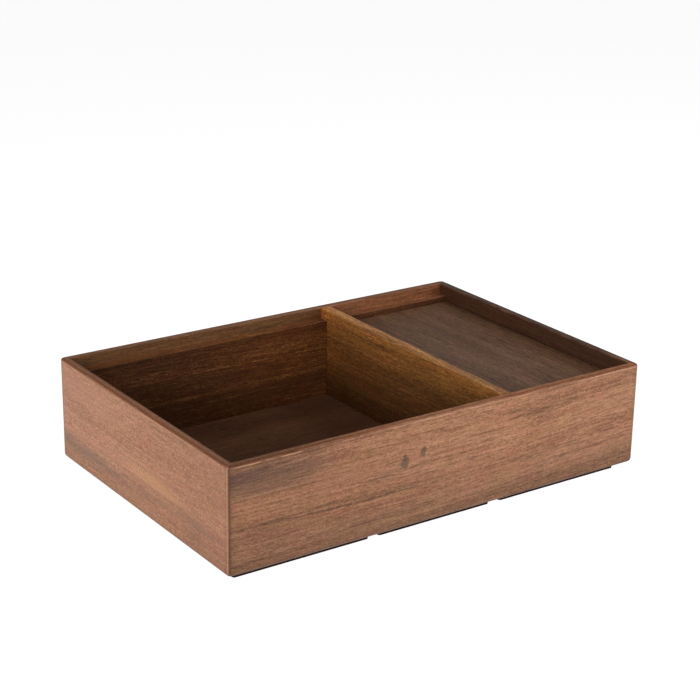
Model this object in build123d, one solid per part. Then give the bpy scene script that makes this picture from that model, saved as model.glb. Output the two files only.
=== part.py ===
from build123d import *
import os

# Rectangular wooden tray with mitred walls, an inner ledge along both long
# sides, a lift-out divider, a lift-out raised board in the narrow
# compartment and rubber grip strips under both long walls.
# Frame: X along the length, Y from front to back, Z up.
# Origin: centre of the footprint, on the surface the grip strips stand on.
# All dimensions in millimetres.

# ---------------------------------------------------------------- dimensions
length = 280.0            # outside, along X
width = 190.0             # outside, along Y
wall_height = 62.0        # height of the wooden walls
wall_t = 5.0              # wall thickness at the rim
rim_outer_r = 1.1         # eased outer edge of the rim
rim_inner_r = 0.5         # eased inner edge of the rim
corner_r = 3.0            # rounded vertical corners
foot_r = 2.7              # rounded outer edge along the bottom

tongue_t = 2.0            # loose tongue in a mitre: thickness
tongue_w = 5.0            # width across the joint
tongue_s = 4.7            # its middle, measured along the mitre from outside
tongue_stop = 10.0        # stopped this far below the rim

strip_h = 2.0             # grip strips under the long walls
strip_w = 8.0
strip_inset = 3.0         # from the outer face of the long wall
strip_spans = [(-135.5, -50.0), (-43.5, 33.0), (40.5, 127.0)]
strip_end_r = 1.6         # rounded ends, in plan
strip_edge_r = 0.35       # rounded lower edge

panel_t = 5.0             # bottom panel, let into a rabbet round the walls
rabbet_d = 2.0            # depth of that rabbet into the wall

ledge_w = 7.0             # ledge boards glued inside the long walls
ledge_depth = 7.0         # ledge below the rim
ledge_edge_r = 0.5        # eased arris of the ledge

divider_x0 = 40.0         # left face of the divider
divider_t = 7.0
divider_edge_r = 0.9      # eased upper edges
dado_d = 2.0              # housings in the ledge boards that locate it
dado_clear = 0.3          # side clearance in a housing
end_clear = 0.3           # end clearance of the divider
foot_clear = 0.4          # gap between the divider and the bottom panel

platform_depth = 10.0     # top of the raised board below the rim
platform_t = 6.0
platform_clear = 0.4      # clearance round the raised board
platform_edge_r = 0.8     # eased upper edges
leg_t = 6.0               # legs under the raised board
leg_inset = 10.0          # from the board's front and back edges
leg_end_inset = 4.0       # from the board's ends

# ------------------------------------------------------------- derived values
z_wood = strip_h
z_rim = z_wood + wall_height
z_floor = z_wood + panel_t
z_ledge = z_rim - ledge_depth
hx, hy = length / 2, width / 2
ix, iy = hx - wall_t, hy - wall_t            # inside faces of the walls
ly = iy - ledge_w                            # inside faces of the ledge boards


def block(x0, x1, y0, y1, z0, z1):
    """Solid block between two opposite corners."""
    return Pos((x0 + x1) / 2, (y0 + y1) / 2, (z0 + z1) / 2) * Box(
        abs(x1 - x0), abs(y1 - y0), abs(z1 - z0)
    )


def prism(points, z0, z1):
    """Vertical prism over a polygon."""
    face = make_face(Polyline(*[(x, y, z0) for x, y in points], close=True))
    return extrude(face, amount=z1 - z0, dir=(0, 0, 1))


def edges_along_y_at(shape, z, tol=1e-3):
    """Straight edges that run along Y at one height."""
    return [
        e
        for e in shape.edges().filter_by(Axis.Y)
        if abs((e @ 0).Z - z) < tol and abs((e @ 1).Z - z) < tol
    ]


# --------------------------------------------------------------- mitred walls
def frame_of_walls():
    """The four walls before they are parted at the mitres: rounded outside all
    round, eased at the rim, with a rabbet for the bottom panel inside."""
    zc = z_wood + wall_height / 2
    ring = Pos(0, 0, zc) * Box(length, width, wall_height)
    ring = fillet(ring.edges().filter_by(Axis.Z), corner_r)
    ring = fillet(ring.faces().sort_by(Axis.Z)[0].edges(), foot_r)
    ring = fillet(ring.faces().sort_by(Axis.Z)[-1].edges(), rim_outer_r)
    ring = ring - block(-ix, ix, -iy, iy, z_wood - 1, z_rim + 1)
    rim = [
        e
        for e in ring.faces().sort_by(Axis.Z)[-1].inner_wires()[0].edges()
    ]
    ring = fillet(rim, rim_inner_r)
    return ring - block(
        -ix - rabbet_d, ix + rabbet_d, -iy - rabbet_d, iy + rabbet_d, z_wood - 1, z_floor
    )


def mitre_zone(along_x, side):
    """Region that one wall may fill: 45 degree cuts at both ends."""
    far, near = 8.0, 20.0
    if along_x:
        pts = [
            (-hx - far, -hy - far),
            (hx + far, -hy - far),
            (hx - near, -hy + near),
            (-hx + near, -hy + near),
        ]
        pts = [(x, -side * y) for x, y in pts]
    else:
        pts = [
            (-hx - far, -hy - far),
            (-hx + near, -hy + near),
            (-hx + near, hy - near),
            (-hx - far, hy + far),
        ]
        pts = [(-side * x, y) for x, y in pts]
    return prism(pts, z_wood - 5, z_rim + 5)


def tongue(sx, sy, clearance=0.0):
    """Loose tongue across the mitre at one corner, stopped below the rim."""
    h = (z_rim - tongue_stop) - z_floor
    t = Box(tongue_t + 2 * clearance, tongue_w + 2 * clearance, h)
    t = Rot(0, 0, 45) * t
    d = tongue_s / 2**0.5
    t = Pos(-hx + d, -hy + d, z_floor + h / 2) * t
    if sx > 0:
        t = mirror(t, about=Plane.YZ)
    if sy > 0:
        t = mirror(t, about=Plane.XZ)
    return t


corners = {
    "front_left": (-1, -1),
    "front_right": (1, -1),
    "back_left": (-1, 1),
    "back_right": (1, 1),
}

parts = {}
walls = frame_of_walls()
for name, along_x, side in (
    ("front_wall", True, -1),
    ("back_wall", True, 1),
    ("left_end_wall", False, -1),
    ("right_end_wall", False, 1),
):
    w = walls & mitre_zone(along_x, side)
    for sx, sy in corners.values():
        if side == (sy if along_x else sx):
            w = w - tongue(sx, sy)
    parts[name] = w

for name, (sx, sy) in corners.items():
    parts[f"{name}_tongue"] = tongue(sx, sy)

# --------------------------------------------------------------- bottom panel
parts["bottom_panel"] = block(
    -ix - rabbet_d, ix + rabbet_d, -iy - rabbet_d, iy + rabbet_d, z_wood, z_floor
)


# --------------------------------------------------------------- ledge boards
def ledge_board(side):
    b = block(-ix, ix, side * ly, side * iy, z_floor, z_ledge)
    arris = [
        e
        for e in b.edges().filter_by(Axis.X)
        if abs((e @ 0).Z - z_ledge) < 1e-3 and abs((e @ 0).Y - side * ly) < 1e-3
    ]
    b = fillet(arris, ledge_edge_r)
    # housing for the divider, open at the top
    return b - block(
        divider_x0 - dado_clear,
        divider_x0 + divider_t + dado_clear,
        side * (ly - 1),
        side * (ly + dado_d),
        z_floor - 1,
        z_ledge + 1,
    )


parts["front_ledge_board"] = ledge_board(-1)
parts["back_ledge_board"] = ledge_board(1)

# -------------------------------------------------------------------- divider
# its shoulders rest on the two ledges and its lower part runs in the housings
upper_y = iy - end_clear
lower_y = ly + dado_d - end_clear
x0, x1 = divider_x0, divider_x0 + divider_t
divider = block(x0, x1, -lower_y, lower_y, z_floor + foot_clear, z_rim)
divider = divider + block(x0, x1, -upper_y, upper_y, z_ledge, z_rim)
divider = fillet(edges_along_y_at(divider, z_rim), divider_edge_r)
parts["divider"] = divider

# --------------------------------------------------------------- raised board
px0 = divider_x0 + divider_t + platform_clear
px1 = ix - platform_clear
py = ly - platform_clear
z_plat = z_rim - platform_depth
board = block(px0, px1, -py, py, z_plat - platform_t, z_plat)
board = fillet(board.faces().sort_by(Axis.Z)[-1].edges(), platform_edge_r)
parts["raised_board"] = board
for side, where in ((-1, "front"), (1, "back")):
    parts[f"raised_board_{where}_leg"] = block(
        px0 + leg_end_inset,
        px1 - leg_end_inset,
        side * (py - leg_inset - leg_t),
        side * (py - leg_inset),
        z_floor,
        z_plat - platform_t,
    )


# ---------------------------------------------------------------- grip strips
def strip(side, xa, xb):
    s = block(
        xa, xb, side * (hy - strip_inset), side * (hy - strip_inset - strip_w), 0, strip_h
    )
    s = fillet(s.edges().filter_by(Axis.Z), strip_end_r)
    return fillet(s.faces().sort_by(Axis.Z)[0].edges(), strip_edge_r)


for side, where in ((-1, "front"), (1, "back")):
    for (xa, xb), pos in zip(strip_spans, ("left", "middle", "right")):
        parts[f"{where}_grip_strip_{pos}"] = strip(side, xa, xb)

# --------------------------------------------------------------------- export
os.makedirs("parts", exist_ok=True)
for name, shape in parts.items():
    solids = shape.solids()
    bb = shape.bounding_box()
    print(
        f"{name:24s} solids {len(solids)} volume {sum(s.volume for s in solids):10.1f}"
        f"  x {bb.min.X:8.2f} {bb.max.X:8.2f}  y {bb.min.Y:8.2f} {bb.max.Y:8.2f}"
        f"  z {bb.min.Z:6.2f} {bb.max.Z:6.2f}"
    )
    assert len(solids) == 1, name
    out = solids[0]
    out.label = name
    export_step(out, f"parts/{name}.step")
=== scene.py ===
import math

import bpy
from mathutils import Matrix, Vector


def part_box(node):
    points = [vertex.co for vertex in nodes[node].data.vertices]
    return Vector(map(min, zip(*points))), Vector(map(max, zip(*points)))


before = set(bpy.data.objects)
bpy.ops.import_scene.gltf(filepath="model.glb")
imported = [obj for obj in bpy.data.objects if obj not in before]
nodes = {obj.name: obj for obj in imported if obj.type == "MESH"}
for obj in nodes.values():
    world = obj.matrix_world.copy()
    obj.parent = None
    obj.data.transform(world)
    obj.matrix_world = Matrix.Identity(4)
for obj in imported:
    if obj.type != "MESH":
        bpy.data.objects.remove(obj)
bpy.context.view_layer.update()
scene = bpy.context.scene
scene.view_settings.view_transform = "Standard"


# ------------------------------------------------------------ shader graphs
class Sock:
    """A node output with arithmetic, so that a shader reads like a formula."""

    def __init__(self, g, s):
        self.g, self.s = g, s

    def __add__(self, o):
        return self.g.math("ADD", self, o)

    __radd__ = __add__

    def __sub__(self, o):
        return self.g.math("SUBTRACT", self, o)

    def __rsub__(self, o):
        return self.g.math("SUBTRACT", o, self)

    def __mul__(self, o):
        return self.g.math("MULTIPLY", self, o)

    __rmul__ = __mul__

    def __truediv__(self, o):
        return self.g.math("DIVIDE", self, o)

    def abs(self):
        return self.g.math("ABSOLUTE", self)

    def sqrt(self):
        return self.g.math("SQRT", self)

    def fract(self):
        return self.g.math("FRACT", self)

    def clamp(self):
        return self.g.math("ADD", self, 0.0, clamp=True)

    def pow(self, o):
        return self.g.math("POWER", self, o)

    def min(self, o):
        return self.g.math("MINIMUM", self, o)

    def max(self, o):
        return self.g.math("MAXIMUM", self, o)


class Graph:
    """One material and the few node kinds that it is made of."""

    def __init__(self, name):
        self.mat = bpy.data.materials.new(name)
        self.mat.use_nodes = True
        self.nt = self.mat.node_tree
        self.nt.nodes.clear()

    def put(self, sock, v):
        if isinstance(v, Sock):
            self.nt.links.new(v.s, sock)
        elif isinstance(v, (tuple, list)) and len(v) == 3 and sock.type == "RGBA":
            sock.default_value = (*v, 1.0)
        else:
            sock.default_value = v

    def node(self, kind, **props):
        n = self.nt.nodes.new(kind)
        for k, v in props.items():
            setattr(n, k, v)
        return n

    def math(self, op, a, b=0.0, clamp=False):
        n = self.node("ShaderNodeMath", operation=op, use_clamp=clamp)
        self.put(n.inputs[0], a)
        if op not in ("ABSOLUTE", "SQRT", "FRACT", "SINE", "COSINE"):
            self.put(n.inputs[1], b)
        return Sock(self, n.outputs[0])

    def vec(self, x, y, z):
        n = self.node("ShaderNodeCombineXYZ")
        for s, v in zip(n.inputs, (x, y, z)):
            self.put(s, v)
        return Sock(self, n.outputs[0])

    def xyz(self, v):
        n = self.node("ShaderNodeSeparateXYZ")
        self.put(n.inputs[0], v)
        return [Sock(self, o) for o in n.outputs]

    def object_mm(self):
        n = self.node("ShaderNodeTexCoord")
        m = self.node("ShaderNodeVectorMath", operation="SCALE")
        self.put(m.inputs[0], Sock(self, n.outputs["Object"]))
        m.inputs["Scale"].default_value = 1000.0
        return self.xyz(Sock(self, m.outputs[0]))

    def normal(self):
        n = self.node("ShaderNodeTexCoord")
        return self.xyz(Sock(self, n.outputs["Normal"]))

    def noise(self, v, detail=2.0, rough=0.5, scale=1.0, dist=0.0):
        n = self.node("ShaderNodeTexNoise", noise_dimensions="3D")
        self.put(n.inputs["Vector"], v)
        n.inputs["Scale"].default_value = scale
        n.inputs["Detail"].default_value = detail
        n.inputs["Roughness"].default_value = rough
        n.inputs["Distortion"].default_value = dist
        return Sock(self, n.outputs[0])

    def noise1(self, w, detail=2.0, rough=0.5):
        n = self.node("ShaderNodeTexNoise", noise_dimensions="1D")
        self.put(n.inputs["W"], w)
        n.inputs["Scale"].default_value = 1.0
        n.inputs["Detail"].default_value = detail
        n.inputs["Roughness"].default_value = rough
        return Sock(self, n.outputs[0])

    def range(self, x, a, b, lo=0.0, hi=1.0, smooth=True):
        n = self.node(
            "ShaderNodeMapRange", interpolation_type="SMOOTHSTEP" if smooth else "LINEAR"
        )
        self.put(n.inputs["Value"], x)
        for k, v in zip(("From Min", "From Max", "To Min", "To Max"), (a, b, lo, hi)):
            n.inputs[k].default_value = v
        return Sock(self, n.outputs[0])

    def mix(self, f, a, b, blend="MIX"):
        n = self.node("ShaderNodeMix", data_type="RGBA", blend_type=blend)
        n.clamp_factor = True
        self.put(n.inputs[0], f)
        self.put(n.inputs[6], a)
        self.put(n.inputs[7], b)
        return Sock(self, n.outputs[2])

    def ramp(self, f, stops):
        n = self.node("ShaderNodeValToRGB")
        e = n.color_ramp.elements
        while len(e) > 1:
            e.remove(e[-1])
        e[0].position, e[0].color = stops[0][0], (*stops[0][1], 1.0)
        for p, c in stops[1:]:
            x = e.new(p)
            x.color = (*c, 1.0)
        self.put(n.inputs[0], f)
        return Sock(self, n.outputs[0])

    def bump(self, height, distance, strength, normal=None):
        n = self.node("ShaderNodeBump")
        n.inputs["Strength"].default_value = strength
        n.inputs["Distance"].default_value = distance
        self.put(n.inputs["Height"], height)
        if normal is not None:
            self.put(n.inputs["Normal"], normal)
        return Sock(self, n.outputs[0])

    def surface(self, color, rough, normal=None, **fixed):
        b = self.node("ShaderNodeBsdfPrincipled")
        out = self.node("ShaderNodeOutputMaterial")
        self.put(b.inputs["Base Color"], color)
        self.put(b.inputs["Roughness"], rough)
        if normal is not None:
            self.put(b.inputs["Normal"], normal)
        for k, v in fixed.items():
            b.inputs[k.replace("_", " ")].default_value = v
        self.nt.links.new(b.outputs[0], out.inputs[0])
        return self.mat


def rgb(r, g, b):
    """sRGB 0-255 to linear."""

    def f(c):
        c /= 255.0
        return c / 12.92 if c <= 0.04045 else ((c + 0.055) / 1.055) ** 2.4

    return (f(r), f(g), f(b))


# --------------------------------------------------------------------- wood
def wood(
    name,
    box,
    grain,
    wide,
    shift,
    tones,
    pith=(-110.0, 46.0),
    tilt=0.0,
    wave=5.0,
    figure=1.0,
    fine=1.0,
    speckle=1.0,
    pores=1.0,
    marks=(),
    marks_face=None,
    veins=(),
    patches=(),
    rough=0.5,
    top=None,
    roll=None,
    lip_highlight=None,
    worn=0.25,
    joint=None,
    arris_highlight=None,
    foot_shade=None,
    shade=(),
    sweep=None,
    spec=0.31,
):
    """Oiled hardwood for one board. grain is the axis the fibres follow, wide the axis
    across its wide face. Everything is a solid texture in the part's own millimetres, so
    the faces, edges and ends of a board belong to one piece of timber."""
    g = Graph(name)
    p = dict(zip("XYZ", g.object_mm()))
    n = dict(zip("XYZ", g.normal()))
    thick = ({"X", "Y", "Z"} - {grain, wide}).pop()
    u0, v0, w0 = p[grain], p[wide], p[thick]
    su, sv, sw = shift
    u, v, w = u0 + su, v0 + sv, w0 + sw
    (x0, y0, z0), (x1, y1, z1) = [[c * 1000.0 for c in q] for q in box]

    # the fibres wander a little along the board
    wander = g.noise(g.vec(u * 0.0060, v * 0.014, w * 0.02), 2.0, 0.5)
    ripple = g.noise(g.vec(u * 0.030, v * 0.07, w * 0.07), 1.0, 0.5)
    v1 = v + (wander - 0.5) * wave * 2.0 + (ripple - 0.5) * wave * 0.28 + u0 * tilt
    if sweep is not None:
        # the fibres drift across the board towards one end: (from, to, rise)
        v1 = v1 - g.range(u0, sweep[0], sweep[1]) * sweep[2]
    for mu, mv, ru, rv, lean in marks:
        # the grain bows gently round each small knot
        du, dv = (u0 - mu) / (ru * 4.5), (v0 - mv) / (rv * 2.6)
        near = g.range(du * du + dv * dv, 0.0, 1.0, 1.0, 0.0)
        v1 = v1 - near * dv * (rv * 0.55)

    # growth rings round a pith that lies outside the board
    a, b = v1 - (sv + pith[0]), w - (sw + pith[1])
    r = (a * a + b * b).sqrt()
    bands = g.noise1(r * 0.075 + su * 0.37, 2.5, 0.55)
    lines = g.noise1(r * 0.75 + su * 0.11, 3.0, 0.70)
    hair = g.noise(g.vec(u * 0.012, v1 * 1.05, w * 1.05), 2.0, 0.60)
    streak = g.noise(g.vec(u * 0.052, v1 * 0.82, w * 0.82), 3.0, 0.68)
    fibre = g.noise(g.vec(u * 0.21, v1 * 1.30, w * 1.30), 2.0, 0.70)
    speck = g.noise(g.vec(u * 0.62, v1 * 0.98, w * 0.98), 1.5, 0.75)
    blotch = g.noise(g.vec(u * 0.016, v1 * 0.050, w * 0.05), 2.0, 0.55)

    t = (
        0.5
        + (bands - 0.5) * (0.36 * figure)
        + (lines - 0.5) * (0.27 * figure)
        + (blotch - 0.5) * (0.24 * figure)
        + (hair - 0.5) * (0.43 * fine)
        + (streak - 0.5) * (0.50 * fine)
        + (fibre - 0.5) * (0.50 * fine)
        + (speck - 0.5) * (0.62 * fine * speckle)
    )
    color = g.ramp(t, [(0.20, tones[0]), (0.42, tones[1]), (0.58, tones[2]), (0.80, tones[3])])

    # hue drifts between pinker, greyer and more olive wood, and flecks of each
    hue = g.noise(g.vec(u * 0.012 + 31.0, v1 * 0.07, w * 0.06), 2.0, 0.60)
    fleck = g.noise(g.vec(u * 0.20 + 47.0, v1 * 0.5, w * 0.5), 1.5, 0.60)
    color = g.mix(
        g.range(hue + (fleck - 0.5) * 0.40, 0.42, 0.68) * 0.20, color, tones[4]
    )
    tinge = g.noise(g.vec(u * 0.045 + 61.0, v1 * 0.20, w * 0.20), 2.0, 0.60)
    color = g.mix(g.range(tinge, 0.50, 0.66) * 0.90, color, (1.04, 0.94, 0.97), "MULTIPLY")
    color = g.mix(
        g.range(tinge, 0.34, 0.50, 1.0, 0.0) * 0.90, color, (0.98, 1.01, 0.89), "MULTIPLY"
    )

    # pores: crisp dark dashes along the fibres, in drifts
    drift = g.noise(g.vec(u * 0.016, v1 * 0.13, w * 0.16), 2.0, 0.5)
    dash = g.noise(g.vec(u * 0.075, v1 * 1.45, w * 1.45), 1.5, 0.55)
    tick = g.noise(g.vec(u * 0.19, v1 * 2.1, w * 2.1), 1.0, 0.5)
    pore = g.range(dash + (drift - 0.5) * 0.38, 0.600, 0.680) * 0.90
    pore = pore.max(g.range(tick + (drift - 0.5) * 0.26, 0.605, 0.690) * 0.70)
    pore = pore * pores
    color = g.mix(pore * 0.52, color, tones[5])

    # darker veins at chosen heights: (from, to, height, slope, half-width, strength)
    vein_total = None
    for ua, ub, h, slope, half, strength in veins:
        span = ub - ua
        wob = (g.noise(g.vec(u * 0.022, 3.7 + h, 0.0), 2.0, 0.55) - 0.5) * (1.6 + half)
        off = (v0 - (u0 - ua) * slope - h + wob).abs()
        wid = g.noise(g.vec(u * 0.10, v * 1.0, 9.1 + h), 3.0, 0.70)
        body = g.range(off / half + (wid - 0.5) * 2.6, 0.25, 1.10, 1.0, 0.0)
        ends = g.range(u0, ua, ua + min(14.0, span * 0.25))
        ends = ends * g.range(u0, ub - min(30.0, span * 0.4), ub, 1.0, 0.0)
        broken = g.range(fibre, 0.38, 0.58, 1.0, 0.0)
        vein = body * ends * (0.46 + broken * 0.54) * strength
        vein_total = vein if vein_total is None else vein_total.max(vein)
    if vein_total is not None:
        color = g.mix(vein_total, color, tones[5])

    # soft patches of another colour, some of them painted shade: (along, across, half-length,
    # half-width, tint, amount)
    for pu, pv, lu, lv, tint, amount in patches:
        du, dv = (u0 - pu) / lu, (v0 - pv - (u0 - pu) * 0.02) / lv
        soft_edge = (streak - 0.5) * 1.6 + (fibre - 0.5) * 0.9
        m = g.range(du * du + dv * dv + soft_edge, 0.0, 1.2, 1.0, 0.0)
        color = g.mix(m * amount, color, tint)

    # small knots on one face only: soft drops, greyer inside and darker at the top
    if marks:
        axis, side, value = marks_face
        face_on = g.range(p[axis] * side, value - 1.5, value - 0.4)
    knot = None
    for mu, mv, ru, rv, lean in marks:
        warp = g.noise(g.vec(u * 0.30, v * 0.30, 4.4 + mu), 3.0, 0.65) - 0.5
        du = (u0 - mu - (v0 - mv) * lean + warp * ru * 0.9) / ru
        dv = (v0 - mv + warp * rv * 0.3) / rv
        du = du * (1.0 + dv * 0.34)
        far = (du * du + dv * dv).sqrt() + (speck - 0.5) * 0.50 + (fibre - 0.5) * 0.30
        fill = g.range(far, 0.55, 1.22, 1.0, 0.0) * face_on
        upper = g.range(dv, -0.6, 0.8)
        low_rim = g.range((far - 0.80).abs(), 0.02, 0.34, 1.0, 0.0) * face_on
        low_rim = low_rim * g.range(dv, -0.9, 0.1, 1.0, 0.0)
        color = g.mix(fill * 0.70, color, tones[6])
        color = g.mix(fill * upper * 0.50, color, tones[5])
        color = g.mix(low_rim * 0.34, color, tones[5])
        knot = fill if knot is None else knot.max(fill)

    # broad painted light and shade over the board: a tint and the ranges (axis, full at, none at)
    for tint, *limits in shade:
        m = None
        for axis, lo, hi in limits:
            k = g.range(p[axis], lo, hi, 1.0, 0.0)
            m = k if m is None else m * k
        color = g.mix(m, color, tint, "MULTIPLY")

    # the upper edge: painted light and shade on the flat top, a darker rounded part and a pale
    # line under it
    rag = g.noise(g.vec(p["X"] * 0.06, p["Y"] * 0.06, p["Z"] * 0.06), 3.0, 0.6)
    grit = g.noise(g.vec(p["X"] * 0.7, p["Y"] * 0.7, p["Z"] * 0.7), 2.0, 0.6)
    # flat upward faces: painted light and shade, a tint given per board
    if top is not None:
        color = g.mix(g.range(n["Z"], 0.80, 0.97), color, top, "MULTIPLY")
    # the rounded outer top edge darker: painted shade, together with the richer colour of oiled
    # wood
    if roll is not None:
        axis, side, reach, tint, *bare = roll
        outer = max(side * q for q in ((x0, x1) if axis == "X" else (y0, y1)))
        d = outer - p[axis] * side + (grit - 0.5) * 0.8 + (rag - 0.5) * 0.8
        arc = g.range(d, reach - 0.25, reach + 0.25, 1.0, 0.0)
        arc = arc * g.range(p["Z"], z1 - 1.05, z1 - 0.75)
        if bare:
            # a stretch of the rim where the rounded part keeps little of that darkening and is as
            # pale as the face
            (b0, b1), = bare
            away = g.range(u0, b0 - 14.0, b0 + 4.0, 1.0, 0.0).max(g.range(u0, b1 - 4.0, b1 + 14.0))
            arc = arc * (0.15 + away * 0.85)
        color = g.mix(arc, color, tint, "MULTIPLY")
    # a pale line just under the rounded edge: painted highlight, partly a rubbed paler line; a
    # thin dark line below it
    if lip_highlight is not None:
        axis, side, drop, width, amount = lip_highlight
        outer = max(side * q for q in ((x0, x1) if axis == "X" else (y0, y1)))
        side_on = g.range(p[axis] * side, outer - 1.2, outer - 0.6)
        off = (z1 - p["Z"] - drop + (grit - 0.5) * 0.5).abs()
        pale = g.range(off, 0.15, width, 1.0, 0.0) * side_on
        pale = pale * g.range(rag + (grit - 0.5) * 0.15, 0.38, 0.56) * amount
        color = g.mix(pale, color, tones[3])
        under = (z1 - p["Z"] - drop - width - 0.35 + (grit - 0.5) * 0.5).abs()
        dark = g.range(under, 0.1, 0.55, 1.0, 0.0) * side_on
        dark = dark * g.range(rag, 0.44, 0.62, 1.0, 0.0) * amount
        color = g.mix(dark * 0.45, color, tones[5])

    # other arrises: rubbed a little paler, and a little darker just behind
    dx = (p["X"] - x0).min(x1 - p["X"])
    dy = (p["Y"] - y0).min(y1 - p["Y"])
    dz = (p["Z"] - z0).min(z1 - p["Z"])
    edge = dx.min(dy).max(dx.max(dy).min(dz)).max(0.0)
    rub = g.range(edge + (rag - 0.5) * 2.2 + (grit - 0.5) * 0.6, 0.05, 0.60, 1.0, 0.0)
    behind = g.range(edge + (rag - 0.5) * 2.4, 0.4, 3.0, 1.0, 0.0)
    color = g.mix(behind * 0.10, color, tones[5])
    color = g.mix(rub * worn, color, tones[3])

    # the glue line of a mitre: (axis, distance from the ends of the box)
    if joint is not None:
        axis, reach = joint
        d = dx if axis == "X" else dy
        gap = g.range(d + (grit - 0.5) * 0.25, 0.05, reach, 1.0, 0.0)
        soak = g.range(d + (rag - 0.5) * 3.0, 0.5, 4.5, 1.0, 0.0)
        color = g.mix(soak * 0.12, color, tones[5])
        color = g.mix(gap * 0.76, color, tones[5])

    # a pale line beside the mitre: painted highlight on the rounded corner: (axis, nearest,
    # farthest, amount)
    if arris_highlight is not None:
        axis, near, far, amount = arris_highlight
        d = (dx if axis == "X" else dy) + (grit - 0.5) * 0.3
        line = g.range(d, near, near + 0.4) * g.range(d, far - 0.4, far, 1.0, 0.0)
        line = line * g.range(rag + (grit - 0.5) * 0.2, 0.30, 0.48) * amount
        color = g.mix(line, color, tones[3])

    # the rounded lower edge, out of the light: painted shade: (height, tint)
    if foot_shade is not None:
        height_mm, tint = foot_shade
        d = p["Z"] - z0 + (grit - 0.5) * 0.8 + (rag - 0.5) * 1.0
        color = g.mix(g.range(d, height_mm * 0.5, height_mm, 1.0, 0.0), color, tint, "MULTIPLY")

    scuff = g.noise(g.vec(u * 0.05 + 71.0, v * 0.9, w * 0.9), 3.0, 0.7)
    height = (
        (fibre - 0.5) * 0.50
        + (streak - 0.5) * 0.25
        + (speck - 0.5) * 0.35
        + (lines - 0.5) * 0.15
        - pore * 0.90
    )
    if knot is not None:
        height = height - knot * 0.3
    normal = g.bump(height, 0.00012, 0.6)
    soft = g.noise(g.vec(u * 0.008 + 13.0, v * 0.02, w * 0.02), 2.0, 0.5)
    rg = rough + (soft - 0.5) * 0.16 + pore * 0.16 + (scuff - 0.5) * 0.12 - rub * 0.06
    return g.surface(color, rg, normal, Specular_IOR_Level=spec)


PINK = [
    rgb(97, 59, 31),
    rgb(134, 88, 57),
    rgb(156, 108, 77),
    rgb(177, 128, 98),
    rgb(130, 92, 66),
    rgb(68, 38, 17),
    rgb(86, 62, 48),
]
# the left end wall: pinker, greyer tones, partly its own wood and partly a painted sheen
ROSE = [
    rgb(108, 67, 40),
    rgb(138, 91, 62),
    rgb(157, 108, 78),
    rgb(179, 130, 102),
    rgb(134, 98, 76),
    rgb(74, 48, 38),
]
# the divider: golden wood, its gold partly a painted warm bounce light
GOLD_WITH_BOUNCE = [
    rgb(78, 44, 16),
    rgb(108, 66, 27),
    rgb(130, 83, 38),
    rgb(164, 112, 60),
    rgb(108, 74, 38),
    rgb(36, 19, 8),
]
# the hidden inner parts: darker wood that also stands in for their shade
DARK = [
    rgb(70, 43, 28),
    rgb(98, 63, 43),
    rgb(118, 79, 55),
    rgb(140, 98, 70),
    rgb(100, 74, 58),
    rgb(40, 24, 16),
]
# ledge boards: a darker copy of the wood, painted shade of the deep inside
LEDGE_SHADED = [
    rgb(49, 26, 11),
    rgb(69, 38, 18),
    rgb(84, 49, 24),
    rgb(118, 78, 46),
    rgb(80, 55, 36),
    rgb(32, 18, 10),
]
BOARD = [
    rgb(82, 54, 37),
    rgb(110, 76, 53),
    rgb(131, 94, 68),
    rgb(156, 116, 86),
    rgb(110, 83, 64),
    rgb(44, 30, 21),
]
# the walls' flat tops: painted light
UP_FACE_LIGHT = (1.12, 1.03, 0.88)
# rounded top edges: painted shade with the richer colour of oiled wood
ROLL_SHADE_AND_OIL = (0.76, 0.59, 0.43)
# rounded lower edges: painted shade
FOOT_SHADE = (3.2, (0.60, 0.56, 0.53))


def give(node, mat):
    o = nodes[node]
    if not o.data.materials:
        o.data.materials.append(mat)
    for s in o.material_slots:
        s.link = "OBJECT"
        s.material = mat


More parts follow.
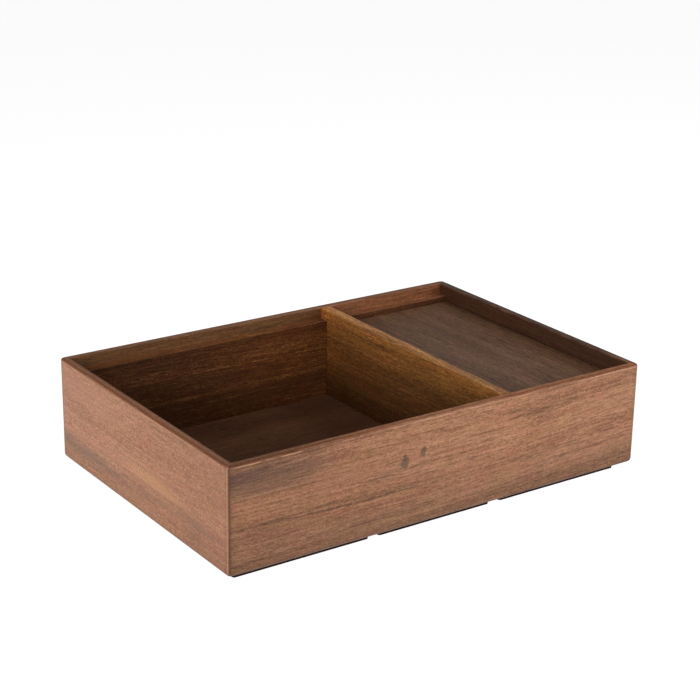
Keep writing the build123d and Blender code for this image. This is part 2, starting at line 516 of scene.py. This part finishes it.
give(
    "front_wall",
    wood(
        "wood_front_wall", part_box("front_wall"), "X", "Z", (40.0, 12.0, 5.0), PINK,
        pith=(-150.0, -60.0), tilt=0.004, wave=3.5, figure=0.85, fine=1.12,
        marks=[(-29.2, 41.9, 2.6, 4.7, 0.08), (-17.0, 44.8, 2.0, 3.1, 0.35)],
        marks_face=("Y", -1.0, 95.0),
        veins=[
            (-150.0, -8.0, 27.6, -0.020, 0.85, 0.84),
            (-98.0, -5.0, 28.6, -0.018, 0.65, 0.62),
            (-62.0, -14.0, 26.9, -0.018, 0.50, 0.50),
            (-150.0, -80.0, 57.0, -0.072, 2.6, 0.34),
            (-152.0, -92.0, 56.5, 0.062, 1.1, 0.42),
            (-45.0, 150.0, 5.5, 0.026, 3.4, 0.26),
            (-8.0, 160.0, 32.6, 0.012, 0.55, 0.62),
            (-22.0, 30.0, 37.3, 0.014, 0.55, 0.62),
            (-22.0, -8.0, 38.6, 0.02, 0.45, 0.50),
            (-70.0, 20.0, 20.0, 0.012, 0.6, 0.40),
            (-40.0, 90.0, 24.5, 0.014, 0.6, 0.44),
            (20.0, 130.0, 24.0, 0.010, 0.6, 0.40),
            (-140.0, -60.0, 44.5, -0.012, 0.6, 0.34),
            (-118.0, -84.0, 48.5, 0.03, 0.5, 0.55),
            (2.0, 40.0, 58.8, 0.01, 0.6, 0.55),
            (-30.0, 60.0, 14.0, 0.01, 0.8, 0.32),
            (-120.0, 10.0, 12.0, 0.008, 0.7, 0.26),
        ],
        # the first two patches darken the top-left of the face: greyer wood and painted shade
        patches=[
            (-116.0, 52.5, 46.0, 9.5, rgb(98, 71, 57), 0.42),
            (-132.0, 57.0, 16.0, 4.0, rgb(92, 60, 55), 0.45),
            (-40.0, 36.0, 14.0, 3.0, rgb(112, 80, 62), 0.30),
            (-23.4, 43.5, 4.6, 4.0, rgb(150, 96, 70), 0.45),
        ],
        top=(1.36, 1.24, 1.05), roll=("Y", -1.0, 2.3, ROLL_SHADE_AND_OIL, (-42.0, 30.0)),
        lip_highlight=("Y", -1.0, 1.15, 0.50, 0.90),
        joint=("X", 1.5), foot_shade=(2.6, (0.84, 0.80, 0.76)), sweep=(10.0, 150.0, 5.0),
        # darker to the left, towards the bottom and at the top-left: painted shade
        shade=[
            ((0.82, 0.80, 0.78), ("X", -150.0, 30.0)),
            ((0.66, 0.66, 0.63), ("Z", 0.0, 34.0)),
            ((0.73, 0.72, 0.71), ("X", -132.0, -30.0), ("Z", 59.0, 34.0)),
        ],
    ),
)
give(
    "back_wall",
    wood(
        "wood_back_wall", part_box("back_wall"), "X", "Z", (460.0, 80.0, 31.0), PINK,
        pith=(-120.0, 50.0), tilt=-0.006,
        veins=[(-140.0, 60.0, 20.0, 0.02, 1.2, 0.4), (10.0, 150.0, 44.0, -0.01, 0.8, 0.4)],
        top=UP_FACE_LIGHT, roll=("Y", 1.0, 2.3, ROLL_SHADE_AND_OIL), lip_highlight=("Y", 1.0, 1.15, 0.50, 0.80),
        joint=("X", 1.15), foot_shade=FOOT_SHADE,
        # the inner face darker, and darker again left of the divider: painted shade
        shade=[
            ((0.80, 0.66, 0.47), ("Y", 90.3, 91.3)),
            ((0.58, 0.66, 0.56), ("Y", 90.3, 91.3), ("X", 34.0, 44.0)),
        ],
    ),
)
give(
    "left_end_wall",
    wood(
        "wood_left_end_wall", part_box("left_end_wall"), "Y", "Z", (905.0, 44.0, 77.0), ROSE,
        pith=(-170.0, 90.0), tilt=0.012, wave=3.0, figure=0.40, fine=0.72, speckle=1.9,
        pores=0.50,
        veins=[
            (-25.0, 140.0, 14.5, 0.010, 1.9, 0.34),
            (10.0, 150.0, 18.6, 0.004, 1.2, 0.26),
            (-92.0, 20.0, 33.5, -0.02, 0.9, 0.16),
            (-20.0, 100.0, 38.0, -0.02, 1.0, 0.14),
            (-92.0, -30.0, 12.0, 0.02, 0.6, 0.40),
            (-80.0, 30.0, 21.5, 0.01, 0.6, 0.30),
            (-10.0, 80.0, 18.0, 0.0, 0.6, 0.32),
        ],
        patches=[
            (70.0, 15.0, 60.0, 5.0, rgb(104, 79, 67), 0.34),
            (-20.0, 17.0, 40.0, 2.4, rgb(116, 82, 64), 0.34),
            (-62.0, 19.0, 26.0, 3.4, rgb(110, 80, 64), 0.40),
            (-18.0, 26.5, 38.0, 4.2, rgb(184, 132, 86), 0.34),
            (60.0, 50.0, 60.0, 9.0, rgb(180, 128, 102), 0.20),
        ],
        top=UP_FACE_LIGHT, roll=("X", -1.0, 2.0, ROLL_SHADE_AND_OIL), lip_highlight=("X", -1.0, 1.15, 0.50, 0.36),
        joint=("Y", 0.35), worn=0.30, arris_highlight=("Y", 0.3, 1.2, 0.40), foot_shade=FOOT_SHADE,
        # darker towards the front edge and the bottom, and on the inner face: painted shade
        shade=[
            ((0.87, 0.85, 0.83), ("Y", -95.0, 0.0)),
            ((0.84, 0.81, 0.76), ("Z", 0.0, 26.0)),
            ((0.66, 0.56, 0.46), ("X", -135.3, -136.3)),
        ],
    ),
)
give(
    "right_end_wall",
    wood(
        "wood_right_end_wall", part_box("right_end_wall"), "Y", "Z", (1310.0, 9.0, 140.0), PINK,
        pith=(-140.0, -70.0), tilt=-0.02, figure=0.8, fine=0.9, pores=0.8,
        veins=[(-110.0, 60.0, 40.0, 0.03, 1.2, 0.4)],
        # the dark flat top and rounded edge: painted shade
        top=(0.42, 0.38, 0.37), roll=("X", 1.0, 2.0, (0.46, 0.37, 0.29)),
        lip_highlight=("X", 1.0, 1.15, 0.55, 0.70),
        joint=("Y", 0.60), arris_highlight=("Y", 0.7, 1.8, 0.40), foot_shade=FOOT_SHADE,
        # the inner face very dark: painted shadow; the rim's flat top lighter near the front end:
        # painted light
        shade=[
            ((0.195, 0.155, 0.130), ("X", 135.3, 136.3)),
            ((2.4, 2.3, 2.1), ("Z", 63.99, 63.70), ("Y", -92.0, -60.0)),
        ],
    ),
)
for node, s in (("front_ledge_board", 1730.0), ("back_ledge_board", 2190.0)):
    give(
        node,
        wood(
            "wood_" + node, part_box(node), "X", "Z", (s, 20.0, 55.0), LEDGE_SHADED,
            pith=(-90.0, 60.0), tilt=0.005, worn=0.10, rough=0.74, spec=0.10,
            # the ledge tops much paler: painted light
            top=(3.7, 4.1, 4.4),
            # the faces near and right of the divider lighter, the right compartment's faces darker
            # and its ledge top paler and bluer: painted light and shade
            shade=[
                ((1.20, 1.25, 1.65), ("Z", 56.95, 56.60), ("X", 48.0, 40.0)),
                ((1.85, 1.80, 1.60), ("Z", 56.40, 56.90), ("X", 34.0, -70.0)),
                ((0.76, 0.80, 0.95), ("Z", 56.40, 56.90), ("X", 48.0, 40.0)),
            ],
        ),
    )
give(
    "divider",
    wood(
        "wood_divider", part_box("divider"), "Y", "Z", (2700.0, 66.0, 23.0), GOLD_WITH_BOUNCE,
        pith=(-130.0, 70.0), tilt=0.03, worn=0.10, figure=1.0, fine=1.15,
        # the flat top: painted light; the left top edge: painted highlight
        top=(1.66, 1.90, 2.55), lip_highlight=("X", -1.0, 0.9, 0.5, 0.45),
        # lighter near the top and the back, darker lower down and towards the front: painted light
        # and shade
        shade=[
            ((1.75, 1.70, 1.60), ("Z", 64.0, 54.0)),
            ((0.60, 0.57, 0.52), ("Z", 40.0, 55.0)),
            ((0.40, 0.35, 0.30), ("Z", 8.0, 40.0)),
            ((0.80, 0.82, 0.82), ("Y", -70.0, 40.0)),
            ((1.25, 1.15, 1.0), ("Y", 95.0, 55.0)),
        ],
    ),
)
give(
    "raised_board",
    wood(
        "wood_raised_board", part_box("raised_board"), "Y", "X", (3150.0, 91.0, 12.0), BOARD,
        pith=(-160.0, 80.0), tilt=0.02,
        # darker towards the back near the divider: painted shade
        shade=[((0.80, 0.68, 0.56), ("X", 44.0, 76.0), ("Y", 86.0, 20.0))],
    ),
)
for node, s in (("raised_board_front_leg", 3600.0), ("raised_board_back_leg", 3980.0)):
    give(
        node,
        wood(
            "wood_" + node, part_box(node), "X", "Z", (s, 33.0, 18.0), DARK,
            pith=(-100.0, -40.0),
        ),
    )
give(
    "bottom_panel",
    wood(
        "wood_bottom_panel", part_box("bottom_panel"), "X", "Y", (4400.0, 150.0, 40.0), DARK,
        pith=(-40.0, -240.0), tilt=0.02,
    ),
)
for i, node in enumerate(
    ("front_left_tongue", "front_right_tongue", "back_left_tongue", "back_right_tongue")
):
    give(
        node,
        wood(
            "wood_" + node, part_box(node), "Z", "X", (5000.0 + 333.0 * i, 7.0, 3.0), PINK,
            pith=(-80.0, 30.0), rough=0.7,
        ),
    )


# ------------------------------------------------------------------- rubber
def rubber(name, box, seed):
    """Matt black rubber strip: moulded pebble, dust on its edges."""
    g = Graph(name)
    x, y, z = g.object_mm()
    pebble = g.noise(g.vec(x * 1.1 + seed, y * 1.1, z * 1.1), 3.0, 0.6)
    smear = g.noise(g.vec(x * 0.05 + seed, y * 0.3, z * 0.3), 2.0, 0.5)
    dust = g.noise(g.vec(x * 0.4, y * 0.4 + seed, z * 0.4), 4.0, 0.7)
    (x0, y0, z0), (x1, y1, z1) = [[c * 1000.0 for c in q] for q in box]
    dx = (x - x0).min(x1 - x)
    dy = (y - y0).min(y1 - y)
    edge = dx.min(dy)
    rim = g.range(edge + (dust - 0.5) * 1.5, 0.1, 1.0, 1.0, 0.0)
    color = g.ramp(
        pebble * 0.6 + smear * 0.4,
        [(0.3, rgb(22, 10, 5)), (0.7, rgb(36, 21, 14))],
    )
    color = g.mix(rim * 0.16 + g.range(dust, 0.6, 0.75) * 0.14, color, rgb(66, 52, 43))
    normal = g.bump(pebble, 0.00008, 0.5)
    return g.surface(color, 0.86 + (smear - 0.5) * 0.2, normal, Specular_IOR_Level=0.03)


for i, node in enumerate(sorted(n for n in nodes if "grip_strip" in n)):
    give(node, rubber("rubber_" + node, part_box(node), 17.0 * i))

# -------------------------------------------------------------------- stage
bpy.ops.mesh.primitive_plane_add(size=12.0, location=(0, 0, -0.0001))
floor = bpy.context.object
floor.name = "floor"
g = Graph("floor")
floor.data.materials.append(
    g.surface(
        (0.36, 0.36, 0.36), 0.9, None,
        Specular_IOR_Level=0.0, Emission_Color=(1.0, 1.0, 1.0, 1.0), Emission_Strength=0.88,
    )
)

# a pale room: bright round the horizon, dim overhead
world = bpy.data.worlds.new("studio")
scene.world = world
world.use_nodes = True
wt = world.node_tree
sky = wt.nodes["Background"]
coord = wt.nodes.new("ShaderNodeTexCoord")
split = wt.nodes.new("ShaderNodeSeparateXYZ")
fall = wt.nodes.new("ShaderNodeValToRGB")
fall.color_ramp.elements[0].position = 0.0
fall.color_ramp.elements[0].color = (0.80, 0.80, 0.80, 1.0)
fall.color_ramp.elements[1].position = 0.75
fall.color_ramp.elements[1].color = (0.10, 0.10, 0.10, 1.0)
wt.links.new(coord.outputs["Generated"], split.inputs[0])
wt.links.new(split.outputs[2], fall.inputs[0])
wt.links.new(fall.outputs[0], sky.inputs[0])
sky.inputs[1].default_value = 0.80


def softbox(name, az, el, dist, size, power, aim=(0.0, 0.0, 0.03)):
    """Rectangular area light at an azimuth and elevation, as seen from the part."""
    a, e = math.radians(az), math.radians(el)
    aim = Vector(aim)
    d = Vector((math.sin(a) * math.cos(e), -math.cos(a) * math.cos(e), math.sin(e)))
    data = bpy.data.lights.new(name, "AREA")
    data.shape = "RECTANGLE"
    data.size, data.size_y = size
    data.energy = power
    o = bpy.data.objects.new(name, data)
    scene.collection.objects.link(o)
    o.location = aim + d * dist
    o.rotation_euler = d.to_track_quat("Z", "Y").to_euler()
    return o


softbox("key", -66.0, 17.0, 1.5, (0.9, 0.6), 16.0)
softbox("front", 38.0, 18.0, 0.95, (0.6, 0.45), 4.0, aim=(0.10, 0.0, 0.03))
softbox("rim", 57.0, 50.0, 1.1, (0.3, 0.3), 1.8)

# ------------------------------------------------------------------- camera
az, el, roll, dist, focal_px = (
    math.radians(-34.964), math.radians(19.843), math.radians(0.906), 1.040, 1788.6,
)
target = Vector((-0.00013, 0.0, 0.070719))
back = Vector((math.sin(az) * math.cos(el), -math.cos(az) * math.cos(el), math.sin(el)))
right = Vector((0, 0, 1)).cross(back).normalized()
up = back.cross(right)
cx = math.cos(roll) * right + math.sin(roll) * up
cy = -math.sin(roll) * right + math.cos(roll) * up
data = bpy.data.cameras.new("camera")
data.sensor_width = 36.0
data.lens = focal_px / 700.0 * 36.0
data.clip_start, data.clip_end = 0.05, 50.0
camera = bpy.data.objects.new("camera", data)
scene.collection.objects.link(camera)
rot = Matrix((cx, cy, back)).transposed().to_4x4()
camera.matrix_world = Matrix.Translation(target + back * dist) @ rot
scene.camera = camera

bpy.context.view_layer.update()
